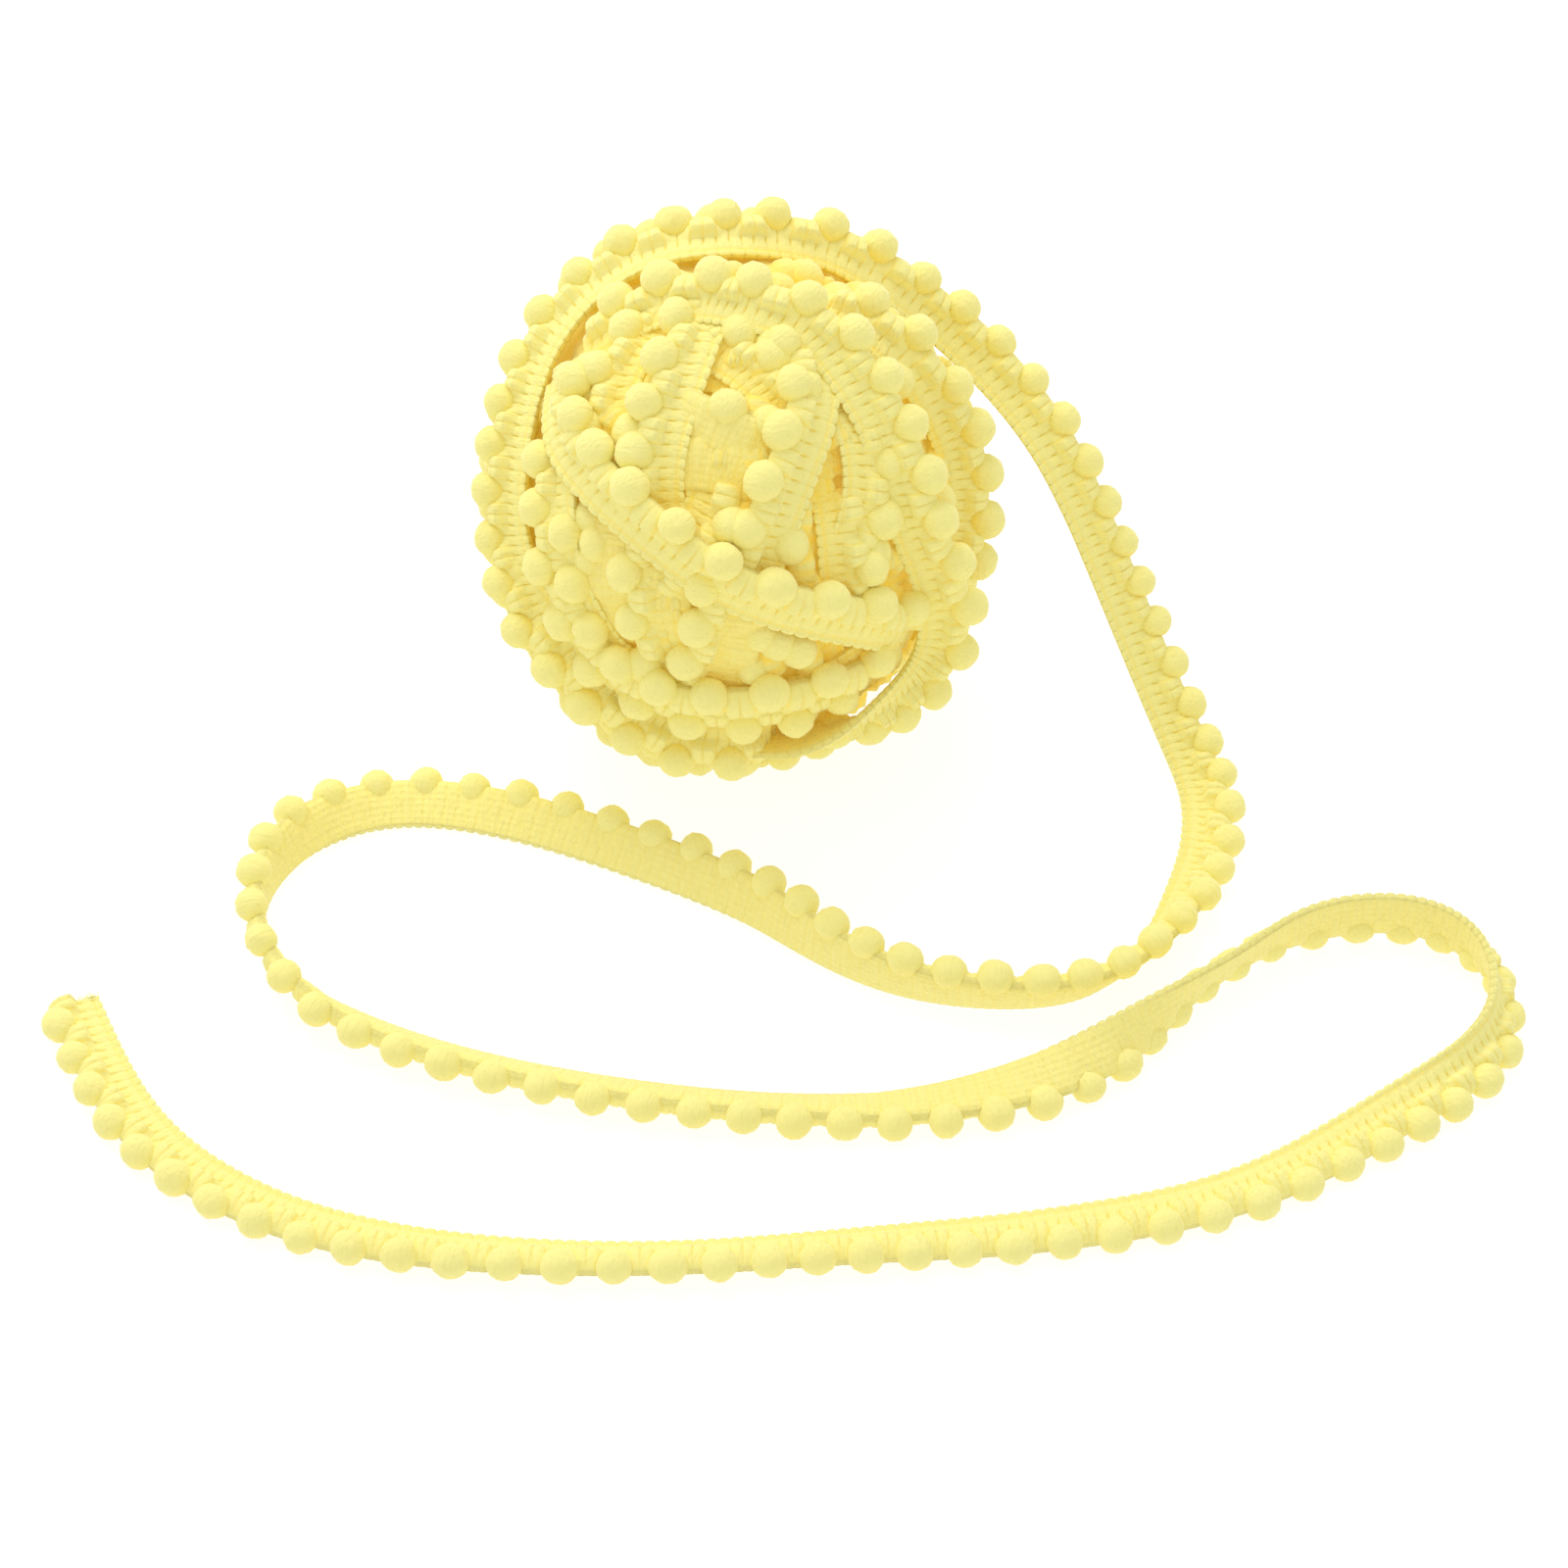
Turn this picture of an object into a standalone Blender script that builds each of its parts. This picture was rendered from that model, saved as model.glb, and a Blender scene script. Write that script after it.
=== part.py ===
"""Pompom fringe trim: a hand-wound ball of mini-pompom braid and its long loose tail.

The ball stands on a small flat spot. One end of the braid leaves its right shoulder, comes down
beside it and lies in wide curves in front of it, turning over on itself on the way.

Frame: origin in the middle of the flat spot, +Z up, +X to the right, +Y to the back.
The tables are in millimetres and degrees, the meshes in metres.
"""
import math

import bmesh
import bpy
import numpy as np

MM = 0.001

# ---------------------------------------------------------------- the trim's own sizes, mm
BRAID_HALF_WIDTH = 3.3      # plain edge to middle, and middle to pompom edge
BRAID_HALF_THICKNESS = 0.8
POMPOM_RADIUS = 2.75
POMPOM_OUT = 1.0            # pompom's centre beyond the braid's pompom edge
POMPOM_UP = 0.9             # pompom's centre on the face side of the braid
POMPOM_HALF_LENGTH = 0.19   # of the distance from one pompom to the next
FIRST_POMPOM = -1           # numbered along the loose tail, towards its cut end
LAST_POMPOM = 109
PARTING = 1.2               # where the pompom strip is parted from the braid
CLEARANCE = 0.3             # between two solids that touch on the real trim
TIE_HALF_WIDTH = 1.4        # the strip between two pompoms
TIE_HALF_THICKNESS = 0.85
POMPOM_SIDES = 8

# ---------------------------------------------------------------- the loose tail
# One row every few pompoms: the pompom's number, the middle line of the braid in plan, its roll
# and how far it is lifted off the floor. Roll 0 lies face up with the pompoms on the left of the
# way to the cut end, 90 stands on the plain edge, 180 lies face down, 270 stands on the pompoms.
TAIL_ROUTE = (
    # pompom, x_mm, y_mm, roll_deg, lift_mm
    (-1.5, 25.5, 18, 25, 67.8),
    (0, 34, 16.5, 28, 60.4),
    (3, 49.5, 7, 14, 47),
    (6, 59.5, -2, 5, 29.5),
    (9, 68, -12, 2, 12),
    (11, 73.5, -21, 2, 3),
    (12.5, 76, -29, 4, 0.5),
    (14, 75.5, -39, 6, 0),
    (15.5, 72.5, -49, 20, 0),
    (17, 68, -59, 41, 0),
    (18.5, 62, -67.5, 57, 0),
    (20, 54, -73, 67, 0),
    (22, 40.5, -74.5, 76, 0),
    (24, 26.5, -71.5, 86, 0),
    (26, 14.5, -64.5, 101, 0),
    (28, 4, -55.5, 121, 0),
    (31, -14.5, -44, 142, 0),
    (34, -36, -34.5, 151, 0),
    (37, -57.5, -32, 153, 0),
    (39, -69, -39, 128, 0),
    (40.5, -74, -48.5, 100, 0),
    (42, -74.5, -59, 90, 0),
    (43.5, -70, -68.5, 107, 0),
    (45, -62, -75.5, 130, 0),
    (48, -42.5, -85, 143, 0),
    (52, -12.5, -92.5, 148, 0),
    (56, 17, -95, 155, 0),
    (60, 46, -91, 193, 0),
    (62, 58.5, -85.5, 230, 0),
    (64, 69, -77, 271, 0),
    (66, 79.5, -68, 286, 0),
    (68, 91.5, -61, 271, 0),
    (70, 105.5, -59.5, 269, 0),
    (71.5, 113.5, -63.5, 273, 0),
    (73, 117.5, -71, 283, 0),
    (74.5, 117, -80.5, 295, 0),
    (76, 112, -88, 315, 0),
    (78, 101.5, -95.5, 339, 0),
    (82, 77, -110, 361, 0),
    (86, 48.5, -117.5, 366, 0),
    (90, 19.5, -121, 377, 0),
    (94, -9, -123.5, 381, 0),
    (98, -40, -122, 376, 0),
    (102, -68, -114, 368, 0),
    (105, -85.5, -101.5, 366, 0),
    (109, -100, -77.5, 366, 0),
    (110, -103, -71, 366, 0),
)
TAIL_START = -1.5           # in pompoms
TAIL_END = 109.6
BRAID_STEP = 0.5            # distance between two sections of the braid, in pompoms

# ---------------------------------------------------------------- the wound ball
BALL_SEMI_AXES = (39.0, 42.0, 44.5)     # to the outside of the braid, without the pompoms
BALL_CENTRE_HEIGHT = 41.5
BALL_CELLS = 27             # along each side of the cube that is blown up into the ball
TURN_STEP = 0.03            # distance between two sections of a turn, radians
TURN_PITCH = 7.3            # pompom to pompom along a turn
GROOVE_DEPTH = 2.8          # from a turn's outside down to what shows between two turns
TURN_HALF_WIDTH = 3.3
TURN_EDGE = 3.0             # width over which a turn's edge falls away
PAD_OUT = 4.8               # from a turn's middle to the outside of the pads between pompoms
BUMP_OUT = 5.0              # and to its pompoms
BUMP_RADIUS = 4.6
BUMP_HEIGHT = 1.8
FOOT_ELEVATION = -64.0      # below this the turns are pressed flat

# Each turn lies on the circle through three directions seen from the ball's middle, each an
# azimuth and an elevation. Side 1 has its pompoms on the left of the way from start to end,
# seen from outside, and -1 on the right. Lift is how far it lies above the ball's surface, and
# lean is how much further its pompoms stand out than its plain edge.
TURNS = (
    # start, middle, end, side, lift_mm, lean_mm
    ((-91, -23), (-123, -13), (-154, 10), 1, 0.0, 3.0),
    ((-154, 10), (-175, 33), (160, 53), 1, 0.2, 1.6),
    ((160, 53), (125, 67), (66, 64), 1, 0.0, 2.0),
    ((66, 64), (55, 58), (45, 51), 1, 0.0, 3.2),
    ((-171, 62), (-126, 81), (-40, 71), 1, -0.6, 1.4),
    ((-40, 71), (-37, 51), (-40, 31), 1, 0.0, 2.2),
    ((-40, 31), (-41, 21), (-38, 0), 1, 0.6, 3.4),
    ((-38, 0), (-44, -14), (-58, -19), 1, 2.2, 1.0),
    ((-58, -19), (-76, -26), (-101, -33), 1, 0.8, 0.0),
    ((-160, 41), (-121, 32), (-95, 22), 1, 0.0, 0.6),
    ((-95, 22), (-70, 11), (-47, -2), 1, -0.2, 0.8),
    ((-142, 18), (-129, 0), (-108, -10), 1, -1.2, 0.0),
    ((-108, -10), (-81, -10), (-55, -12), 1, -0.6, 0.0),
    ((-146, 33), (-134, 15), (-120, -2), -1, -1.0, 0.6),
    ((-120, -2), (-100, -11), (-64, -9), -1, -1.8, 1.0),
    ((-120, 77), (-114, 55), (-111, 36), -1, -1.6, 0.2),
    ((-38, 67), (-63, 47), (-84, 21), -1, -1.0, 0.4),
    ((-152, 66), (-145, 56), (-128, 37), -1, -2.0, 0.2),
    ((-98, 71), (-78, 65), (-58, 48), 1, -2.0, 0.2),
    ((-4, 58), (-10, 34), (-14, 16), 1, -0.8, 3.6),
    ((-14, 16), (-22, 0), (-30, -18), 1, -1.0, 2.4),
    ((-110, 20), (-107, 10), (-102, -11), -1, -1.8, 0.0),
    ((-90, 19), (-91, 10), (-98, -10), -1, -1.8, 0.6),
    ((-40, 42), (-46, 32), (-57, 12), 1, -2.0, 0.0),
    ((20, 20), (42, -4), (75, -42), 1, -0.4, 0.4),
    ((60, 52), (66, 12), (80, -38), -1, -0.8, 0.4),
    ((150, 42), (108, 10), (60, -30), 1, -0.3, 0.6),
    ((172, 20), (140, -4), (90, -40), -1, -0.9, 0.4),
    ((-2, 10), (40, -24), (110, -34), -1, -0.9, 0.4),
    ((95, 48), (120, 6), (155, -38), 1, -1.0, 0.4),
    ((52, 33), (95, 32), (148, 20), -1, -0.9, 0.4),
    ((-12, -25), (30, -44), (80, -50), 1, -1.0, 0.0),
    ((-178, -8), (165, -28), (130, -46), -1, -1.0, 0.4),
)
# Where the ball is wound less full: azimuth, elevation, half-width in degrees, depth.
DENTS = (
    (-145, -30, 30, 2.0),
    (26, 33, 22, 2.2),
)

# ---------------------------------------------------------------- colours
POMPOM_COLOUR = (0.93, 0.83, 0.30, 1.0)
BRAID_COLOUR = (0.92, 0.81, 0.28, 1.0)
BALL_COLOUR = (0.92, 0.80, 0.27, 1.0)
ROUGHNESS = 0.9


def remove_everything():
    for thing in list(bpy.data.objects):
        bpy.data.objects.remove(thing, do_unlink=True)


def new_collection(name):
    collection = bpy.data.collections.new(name)
    bpy.context.scene.collection.children.link(collection)
    return collection


def fabric(name, colour):
    """A plain matt cloth material."""
    material = bpy.data.materials.new(name)
    material.use_nodes = True
    shader = material.node_tree.nodes["Principled BSDF"]
    shader.inputs["Base Color"].default_value = colour
    shader.inputs["Roughness"].default_value = ROUGHNESS
    shader.inputs["Metallic"].default_value = 0.0
    material.diffuse_color = colour
    return material


def add_solid(bm, name, collection, material):
    """Turn a bmesh in millimetres into one named object in metres."""
    bmesh.ops.scale(bm, vec=(MM, MM, MM), verts=bm.verts)
    bmesh.ops.recalc_face_normals(bm, faces=bm.faces)
    mesh = bpy.data.meshes.new(name)
    bm.to_mesh(mesh)
    bm.free()
    mesh.materials.append(material)
    mesh.shade_smooth()
    mesh.set_sharp_from_angle(angle=math.radians(50))
    solid = bpy.data.objects.new(name, mesh)
    collection.objects.link(solid)
    return solid


# ---------------------------------------------------------------- helpers for the tail
def natural_spline(knots, values):
    """A smooth curve through every row, as a function of the pompom's number."""
    knots = np.array(knots, float)
    values = np.array(values, float)
    gaps = np.diff(knots)
    slopes = np.diff(values, axis=0) / gaps[:, None]
    system = np.eye(len(knots))
    right = np.zeros_like(values)
    for row in range(1, len(knots) - 1):
        system[row, row - 1] = gaps[row - 1]
        system[row, row] = 2 * (gaps[row - 1] + gaps[row])
        system[row, row + 1] = gaps[row]
        right[row] = 6 * (slopes[row] - slopes[row - 1])
    bends = np.linalg.solve(system, right)

    def curve(at):
        row = int(np.clip(np.searchsorted(knots, at) - 1, 0, len(gaps) - 1))
        gap = gaps[row]
        before = at - knots[row]
        after = knots[row + 1] - at
        return (
            (bends[row] * after ** 3 + bends[row + 1] * before ** 3) / (6 * gap)
            + (values[row] / gap - bends[row] * gap / 6) * after
            + (values[row + 1] / gap - bends[row + 1] * gap / 6) * before
        )

    return curve


ROUTE = natural_spline([row[0] for row in TAIL_ROUTE], [row[1:] for row in TAIL_ROUTE])


def rest_height(roll):
    """Height of the braid's middle at which the trim just touches the floor."""
    sine = math.sin(roll)
    cosine = math.cos(roll)
    plain_edge = -BRAID_HALF_WIDTH * sine - BRAID_HALF_THICKNESS
    pompom_edge = BRAID_HALF_WIDTH * sine - BRAID_HALF_THICKNESS
    pompom_centre = (BRAID_HALF_WIDTH + POMPOM_OUT) * sine + POMPOM_UP * cosine
    return -min(plain_edge, pompom_edge, pompom_centre - POMPOM_RADIUS)


def tail_middle(at):
    """The braid's middle point at one pompom number."""
    x, y, roll_deg, lift = ROUTE(at)
    height = rest_height(math.radians(roll_deg)) + max(lift, 0.0)
    return np.array((x, y, height))


def tail_frame(at):
    """Middle, the direction from plain edge to pompom edge, and the face's direction."""
    middle = tail_middle(at)
    ahead = tail_middle(at + 0.2) - tail_middle(at - 0.2)
    ahead /= np.linalg.norm(ahead)
    left = np.cross((0.0, 0.0, 1.0), ahead)
    left /= np.linalg.norm(left)
    up = np.cross(ahead, left)
    roll = math.radians(ROUTE(at)[2])
    across = math.cos(roll) * left + math.sin(roll) * up
    face = math.cos(roll) * up - math.sin(roll) * left
    return middle, across, face


def loft(rings):
    """Join a row of rings with equal numbers of points into one closed solid."""
    bm = bmesh.new()
    loops = [[bm.verts.new(point) for point in ring] for ring in rings]
    count = len(loops[0])
    for first, second in zip(loops, loops[1:]):
        for side in range(count):
            nxt = (side + 1) % count
            bm.faces.new((first[side], first[nxt], second[nxt], second[side]))
    bm.faces.new(list(reversed(loops[0])))
    bm.faces.new(loops[-1])
    return bm


def braid_section(at):
    """The braid's flat section, from its plain edge to where the pompom strip is parted."""
    middle, across, face = tail_frame(at)
    corners = (
        (-BRAID_HALF_WIDTH, BRAID_HALF_THICKNESS),
        (PARTING, BRAID_HALF_THICKNESS),
        (PARTING, -BRAID_HALF_THICKNESS),
        (-BRAID_HALF_WIDTH, -BRAID_HALF_THICKNESS),
    )
    return [middle + across * out + face * up for out, up in corners]


def oval_section(at, centre_out, centre_up, half_width, half_thickness):
    """An oval section of the pompom strip."""
    middle, across, face = tail_frame(at)
    ring = []
    for side in range(POMPOM_SIDES):
        angle = 2 * math.pi * (side + 0.5) / POMPOM_SIDES
        out = centre_out + half_width * math.cos(angle)
        up = centre_up + half_thickness * math.sin(angle)
        ring.append(middle + across * out + face * up)
    return ring


def pompom_section(at):
    return oval_section(at, BRAID_HALF_WIDTH + POMPOM_OUT, POMPOM_UP, POMPOM_RADIUS, POMPOM_RADIUS)


def tie_section(at):
    centre = PARTING + CLEARANCE + TIE_HALF_WIDTH
    return oval_section(at, centre, 0.0, TIE_HALF_WIDTH, TIE_HALF_THICKNESS)


def make_tail_braid(collection):
    count = round((TAIL_END - TAIL_START) / BRAID_STEP)
    rings = [braid_section(at) for at in np.linspace(TAIL_START, TAIL_END, count + 1)]
    return add_solid(loft(rings), "tail_braid", collection, fabric("braid_cotton", BRAID_COLOUR))


def make_tail_pompoms(collection):
    """All pompoms, fused by the tied strip of the braid's edge that they grow from."""
    rings = [tie_section(TAIL_START)]
    for number in range(FIRST_POMPOM, LAST_POMPOM + 1):
        rings.append(pompom_section(number - POMPOM_HALF_LENGTH))
        rings.append(pompom_section(number + POMPOM_HALF_LENGTH))
        rings.append(tie_section(min(number + 0.5, TAIL_END)))
    return add_solid(loft(rings), "tail_pompoms", collection, fabric("pompom_pile", POMPOM_COLOUR))


# ---------------------------------------------------------------- helpers for the ball
def direction(azimuth_deg, elevation_deg):
    azimuth = math.radians(azimuth_deg)
    elevation = math.radians(elevation_deg)
    return np.array((
        math.cos(elevation) * math.cos(azimuth),
        math.cos(elevation) * math.sin(azimuth),
        math.sin(elevation),
    ))


def turn_line(start, middle, end):
    """Points, forward directions and left directions along the circle through three directions."""
    first, second, third = direction(*start), direction(*middle), direction(*end)
    axis = np.cross(second - first, third - second)
    axis /= np.linalg.norm(axis)
    centre = axis * (axis @ first)
    spoke = first - centre
    radius = np.linalg.norm(spoke)
    spoke /= radius
    side = np.cross(axis, spoke)
    sweep = math.atan2((third - centre) @ side, (third - centre) @ spoke) % (2 * math.pi)
    angles = np.linspace(0, sweep, max(int(sweep * radius / TURN_STEP), 2))
    points = centre + radius * (np.outer(np.cos(angles), spoke) + np.outer(np.sin(angles), side))
    forward = np.cross(axis, points - centre) / radius
    left = np.cross(points, forward)
    return points, forward, left, angles * radius


def fade(value, low, high):
    """1 below low, 0 above high, smooth between."""
    share = np.clip((value - low) / (high - low), 0, 1)
    return 1 - share * share * (3 - 2 * share)


def turn_relief(spots, turn):
    """Height of one turn over the groove's floor, at directions from the ball's middle."""
    start, middle, end, side, lift, lean = turn
    points, forward, left, travelled = turn_line(start, middle, end)
    size = sum(BALL_SEMI_AXES) / 3
    nearest = np.argmax(spots @ points.T, axis=1)
    away = spots - points[nearest]
    across = side * size * np.sum(away * left[nearest], axis=1)
    ahead = size * np.sum(away * forward[nearest], axis=1)
    along = size * travelled[nearest] + ahead
    inside = fade(np.abs(ahead), 0.8, 3.0)
    tilt = lean * (1 - fade(across, -TURN_HALF_WIDTH, BUMP_OUT))
    height = GROOVE_DEPTH + lift + tilt
    braid = height * fade(across, PAD_OUT, PAD_OUT + TURN_EDGE)
    braid = braid * fade(-across, TURN_HALF_WIDTH, TURN_HALF_WIDTH + TURN_EDGE)
    to_pompom = (along + TURN_PITCH / 2) % TURN_PITCH - TURN_PITCH / 2
    distance = np.hypot(across - BUMP_OUT, to_pompom)
    pompom = (GROOVE_DEPTH + lift + lean + BUMP_HEIGHT) * fade(distance, 1.0, BUMP_RADIUS)
    return np.maximum(braid, pompom) * inside


def ball_relief(spots):
    relief = np.zeros(len(spots))
    for turn in TURNS:
        relief = np.maximum(relief, turn_relief(spots, turn))
    relief -= GROOVE_DEPTH
    for azimuth, elevation, half_width, depth in DENTS:
        angle = np.degrees(np.arccos(np.clip(spots @ direction(azimuth, elevation), -1, 1)))
        relief -= depth * fade(angle, 0, half_width)
    elevation = np.degrees(np.arcsin(np.clip(spots[:, 2], -1, 1)))
    foot = fade(elevation, FOOT_ELEVATION, FOOT_ELEVATION + 14)
    return relief * (1 - foot)


def make_wound_ball(collection):
    """A cube blown up into the ball, with its turns as relief and a flat spot to stand on."""
    bm = bmesh.new()
    bmesh.ops.create_cube(bm, size=2.0)
    bmesh.ops.subdivide_edges(bm, edges=bm.edges, cuts=BALL_CELLS - 1, use_grid_fill=True)
    bm.verts.ensure_lookup_table()
    cube = np.array([vert.co[:] for vert in bm.verts])
    spots = np.tan(cube * math.pi / 4)
    spots /= np.linalg.norm(spots, axis=1)[:, None]
    relief = ball_relief(spots)
    ball = spots * (np.array(BALL_SEMI_AXES) + relief[:, None])
    ball[:, 2] = np.maximum(ball[:, 2] + BALL_CENTRE_HEIGHT, 0.0)
    for vert, point in zip(bm.verts, ball):
        vert.co = point
    return add_solid(bm, "wound_ball", collection, fabric("wound_trim", BALL_COLOUR))


remove_everything()
trim = new_collection("pompom_fringe_trim")
make_wound_ball(trim)
make_tail_braid(trim)
make_tail_pompoms(trim)
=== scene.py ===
# %% [markdown]
# # Pompom fringe trim, wound into a ball
#
# A ready-made trim: a narrow knitted braid, about 7 mm wide, with a row of small clipped-pile
# pompoms along one edge. About eight tenths of a metre of it lies loose in wide curves and turns
# over on itself; the rest is wound by hand into a ball that stands on a small flat spot.
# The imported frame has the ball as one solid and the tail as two. Here each becomes the real trim:
# rungs, slits, tied edge and pompoms with their pile.

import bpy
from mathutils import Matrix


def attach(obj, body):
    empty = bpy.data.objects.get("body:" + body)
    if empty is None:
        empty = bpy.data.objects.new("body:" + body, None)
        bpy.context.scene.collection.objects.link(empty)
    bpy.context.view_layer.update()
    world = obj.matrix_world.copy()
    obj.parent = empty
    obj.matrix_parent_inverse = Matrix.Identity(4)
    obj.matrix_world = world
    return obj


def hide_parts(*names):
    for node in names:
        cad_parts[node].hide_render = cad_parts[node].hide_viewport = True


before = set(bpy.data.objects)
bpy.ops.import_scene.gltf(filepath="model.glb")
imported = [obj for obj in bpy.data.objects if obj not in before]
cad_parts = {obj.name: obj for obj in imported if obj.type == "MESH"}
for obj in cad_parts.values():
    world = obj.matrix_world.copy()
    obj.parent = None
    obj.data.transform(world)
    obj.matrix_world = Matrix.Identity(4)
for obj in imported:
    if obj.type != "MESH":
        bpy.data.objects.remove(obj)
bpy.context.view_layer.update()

# %% [markdown]
# ## Camera
# The camera stands in front of the trim and looks down at 45 degrees. A 90 mm lens on a 36 mm
# square sensor keeps the perspective of the ball and of the far curves gentle.

# %% Camera
import math

import bpy
import numpy as np

MM = 0.001
MM_TO_CM = 0.1
CAMERA_TARGET = (8.0, -24.0, 0.0)       # mm
CAMERA_ELEVATION = 45.0
CAMERA_DISTANCE = 645.0
CAMERA_LENS = 90.0
CAMERA_SENSOR = 36.0

scene = bpy.context.scene
camera = bpy.data.objects.new("camera", bpy.data.cameras.new("camera"))
scene.collection.objects.link(camera)
camera.data.lens = CAMERA_LENS
camera.data.sensor_width = CAMERA_SENSOR
tilt = math.radians(CAMERA_ELEVATION)
camera.location = (
    CAMERA_TARGET[0] * MM,
    (CAMERA_TARGET[1] - CAMERA_DISTANCE * math.cos(tilt)) * MM,
    (CAMERA_TARGET[2] + CAMERA_DISTANCE * math.sin(tilt)) * MM,
)
camera.rotation_euler = (math.pi / 2 - tilt, 0, 0)
scene.camera = camera
print("camera at", tuple(round(c, 3) for c in camera.location))

# %% [markdown]
# ## Light and floor
# A high-key studio: an even white surround, one broad soft light overhead, a little behind and to
# the left, and a pale floor that glows like a light table, so that only a faint shadow stays on
# it. The plain "Standard" view keeps the pale yellow as clean as it is.

# %% Light and floor
SURROUND_STRENGTH = 0.80
LIGHT_POWER = 5.2
LIGHT_SIZE = 0.9            # m
LIGHT_PLACE = (-0.25, 0.45, 0.85)       # m
BOUNCES = 6                 # of light, most of them between pale strands
WHITE = (1.0, 1.0, 1.0, 1.0)
FLOOR_REACH = 3.0           # m, so far that no edge of it shows
FLOOR_DROP = 0.0002         # m below what rests on it
FLOOR_COLOUR = (0.30, 0.30, 0.30, 1.0)
FLOOR_ROUGHNESS = 0.9
FLOOR_GLOW = 0.80           # a lit table, so that the shadows on it almost vanish

scene.view_settings.view_transform = "Standard"
scene.cycles.max_bounces = BOUNCES
scene.cycles.diffuse_bounces = BOUNCES - 1
world = bpy.data.worlds.new("surround")
scene.world = world
world.use_nodes = True
surround = world.node_tree.nodes["Background"]
surround.inputs["Color"].default_value = WHITE
surround.inputs["Strength"].default_value = SURROUND_STRENGTH

lamp = bpy.data.objects.new("soft_light", bpy.data.lights.new("soft_light", "AREA"))
scene.collection.objects.link(lamp)
lamp.data.shape = "DISK"
lamp.data.size = LIGHT_SIZE
lamp.data.energy = LIGHT_POWER
lamp.location = LIGHT_PLACE
lamp.rotation_euler = (
    -math.atan2(LIGHT_PLACE[1], LIGHT_PLACE[2]),
    math.atan2(LIGHT_PLACE[0], LIGHT_PLACE[2]),
    0,
)

floor_mesh = bpy.data.meshes.new("floor")
floor_corners = np.array([(-1, -1, 0), (1, -1, 0), (1, 1, 0), (-1, 1, 0)]) * FLOOR_REACH
floor_mesh.from_pydata(floor_corners.tolist(), [], [(0, 1, 2, 3)])
floor = bpy.data.objects.new("floor", floor_mesh)
scene.collection.objects.link(floor)
floor.location.z = -FLOOR_DROP
floor_material = bpy.data.materials.new("pale_floor")
floor_material.use_nodes = True
floor_shader = floor_material.node_tree.nodes["Principled BSDF"]
floor_shader.inputs["Base Color"].default_value = FLOOR_COLOUR
floor_shader.inputs["Roughness"].default_value = FLOOR_ROUGHNESS
floor_shader.inputs["Emission Color"].default_value = WHITE
floor_shader.inputs["Emission Strength"].default_value = FLOOR_GLOW
floor_mesh.materials.append(floor_material)
print("one soft light, one floor")

# %% [markdown]
# ## The trim's own measures
# The braid is knitted on a narrow machine: a beaded cord along the plain edge, then rungs parted
# by short slits, then puffy pads that are tied between each two pompoms. There are four rungs to
# a pompom. The pompoms are cut from a bound chenille strand, so they sit on the edge, a little to
# the face side.

# %% Measures, in mm
RUNGS = 4                   # rungs from one pompom to the next
TAIL_PITCH = 7.15           # pompom to pompom, along the loose tail
BALL_PITCH = 7.9            # and on the ball, where the trim is pulled tight
BALL_FULLNESS = 1.06        # the ball's braid and pompoms to the tail's
HALF_WIDTH = 3.3            # plain edge to middle, and middle to pompom edge
HALF_THICKNESS = 0.8
POMPOM_RADIUS = 2.75
POMPOM_OUT = 1.0            # a pompom's centre beyond the pompom edge
POMPOM_UP = 0.9             # and on the face side of the braid's middle
FIRST_POMPOM = -1           # numbered along the loose tail, towards its cut end
LAST_POMPOM = 109
TAIL_START = -1.5           # in pompoms, as all places along the trim are
TAIL_END = 109.6
NEAR = 0.2                  # how far before and after a place its direction is taken
LINE_POINTS = 1200          # for measuring a line's length
print("the tail has", LAST_POMPOM - FIRST_POMPOM + 1, "pompoms")

# %% [markdown]
# ## A smooth line through a few rows
# The route of the tail and every turn of the ball are short tables. A natural cubic spline is
# what a limp strand does between two places where it is held, so it joins the rows.

# %% A spline for every route


def natural_spline(knots, values):
    """A smooth curve through every row; it takes an array of places along the knots."""
    knots = np.array(knots, float)
    values = np.array(values, float)
    gaps = np.diff(knots)
    slopes = np.diff(values, axis=0) / gaps[:, None]
    system = np.eye(len(knots))
    right = np.zeros_like(values)
    for row in range(1, len(knots) - 1):
        system[row, row - 1] = gaps[row - 1]
        system[row, row] = 2 * (gaps[row - 1] + gaps[row])
        system[row, row + 1] = gaps[row]
        right[row] = 6 * (slopes[row] - slopes[row - 1])
    bends = np.linalg.solve(system, right)

    def curve(at):
        row = np.clip(np.searchsorted(knots, at) - 1, 0, len(gaps) - 1)
        gap = gaps[row][:, None]
        before = (at - knots[row])[:, None]
        after = (knots[row + 1] - at)[:, None]
        return (
            (bends[row] * after ** 3 + bends[row + 1] * before ** 3) / (6 * gap)
            + (values[row] / gap - bends[row] * gap / 6) * after
            + (values[row + 1] / gap - bends[row + 1] * gap / 6) * before
        )

    return curve


def unit(vectors):
    return vectors / np.linalg.norm(vectors, axis=1)[:, None]


# %% [markdown]
# ## The route of the loose tail
# One row every few pompoms: the pompom's number, the braid's middle in plan, its roll and how far
# it is lifted off the floor. Roll 0 lies face up with the pompoms on the left of the way to the
# cut end, 90 stands on the plain edge, 180 lies face down, 270 stands on the pompoms. The height
# comes from the roll, so the trim always just touches the floor.

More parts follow.
